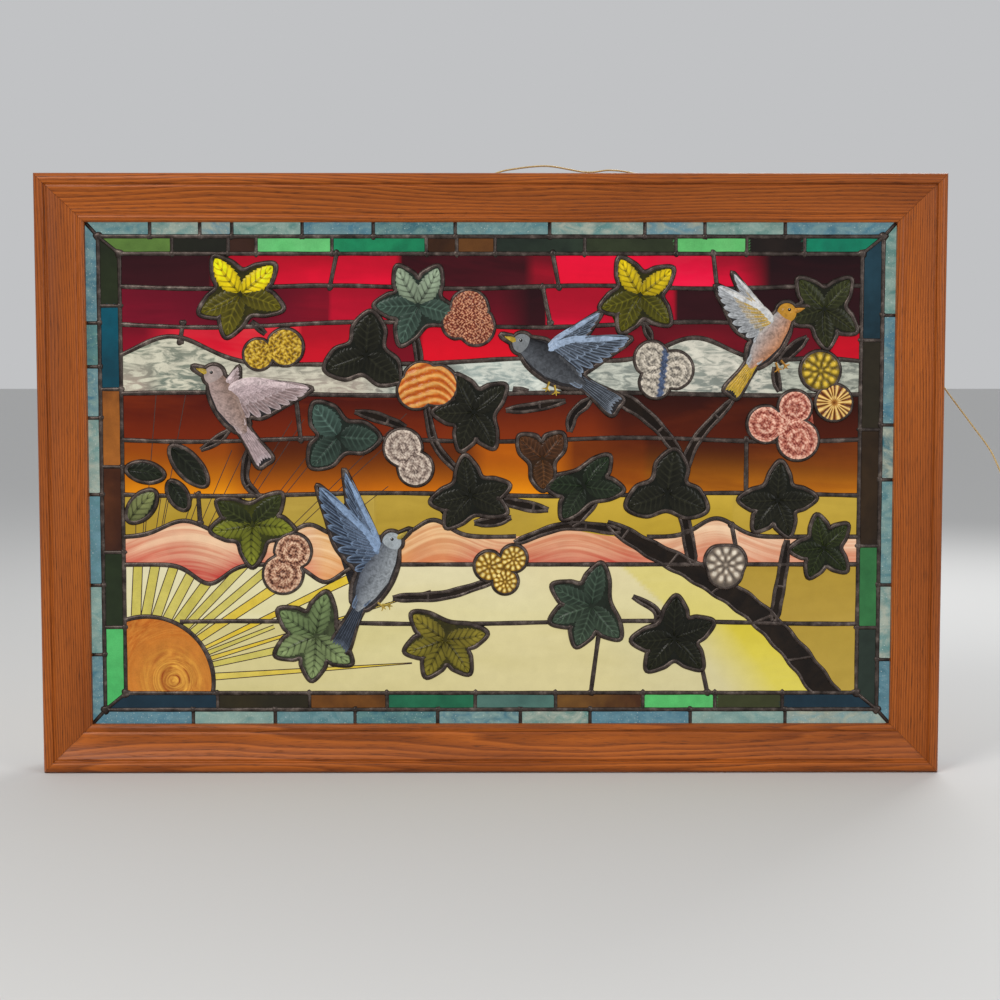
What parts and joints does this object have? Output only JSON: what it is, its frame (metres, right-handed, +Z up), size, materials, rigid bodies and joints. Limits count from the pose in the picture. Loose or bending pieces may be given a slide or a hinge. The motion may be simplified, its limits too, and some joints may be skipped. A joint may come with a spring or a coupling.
{
  "type": "stained glass window",
  "caption": "Oak-framed leaded glass window with cast glass birds, leaves and blossoms, on a shallow wall light box with a cord.",
  "frame": {"origin": "middle of the flat back face, which lies against the wall", "axes": "+X to the right as the picture is seen, +Y into the wall, +Z up; the picture faces -Y"},
  "size_m": [1.342, 0.0863, 0.7871],
  "materials": {
    "oak": "oiled, open grain",
    "plywood": "plain, unfinished",
    "flat_glass": "coloured sheet glass, lit from behind",
    "lead_came": "dark patinated lead",
    "leaf_glass": "pressed glass with veins",
    "bird_glass": "cast glass, painted feathers",
    "blossom_glass": "pressed glass rosettes",
    "cord_sleeve": "clear gold sleeve",
    "fitting": "satin moulded plastic"
  },
  "bodies": {
    "root": {"back_panel": "plywood", "bird_golden": "bird_glass", "bird_grey": "bird_glass", "bird_pale": "bird_glass", "bird_slate": "bird_glass", "blossom_amber_round": "blossom_glass", "blossom_copper": "blossom_glass", "blossom_orange": "blossom_glass", "blossom_pink": "blossom_glass", "blossom_rose_pair": "blossom_glass", "blossom_sky": "blossom_glass", "blossom_white_pair": "blossom_glass", "blossom_white_square": "blossom_glass", "blossom_yellow_pear": "blossom_glass", "blossom_yellow_round": "blossom_glass", "blossom_yellow_triple": "blossom_glass", "box_bottom_board": "oak", "box_left_board": "oak", "box_right_board": "oak", "box_top_board": "oak", "cord": "cord_sleeve", "cord_clip": "fitting", "cord_coil": "cord_sleeve", "cord_grommet": "fitting", "cord_plug": "fitting", "cord_tie": "fitting", "frame_bottom_rail": "oak", "frame_left_stile": "oak", "frame_right_stile": "oak", "frame_top_rail": "oak", "leaded_ground": "flat_glass", "leaf_blue_green": "leaf_glass", "leaf_bottle_green": "leaf_glass", "leaf_brown": "leaf_glass", "leaf_dark_bud": "leaf_glass", "leaf_dark_centre": "leaf_glass", "leaf_dark_low": "leaf_glass", "leaf_dark_middle": "leaf_glass", "leaf_dark_right": "leaf_glass", "leaf_dark_under": "leaf_glass", "leaf_edge_right": "leaf_glass", "leaf_fern_green": "leaf_glass", "leaf_mint": "leaf_glass", "leaf_olive": "leaf_glass", "leaf_pale_green": "leaf_glass", "leaf_sea_green": "leaf_glass", "leaf_sunlit_left": "leaf_glass", "leaf_sunlit_right": "leaf_glass", "leaf_top_corner": "leaf_glass", "leaflet_dark_high": "leaf_glass", "leaflet_dark_low": "leaf_glass", "leaflet_dark_small": "leaf_glass", "leaflet_green": "leaf_glass"}
  },
  "joints": []
}
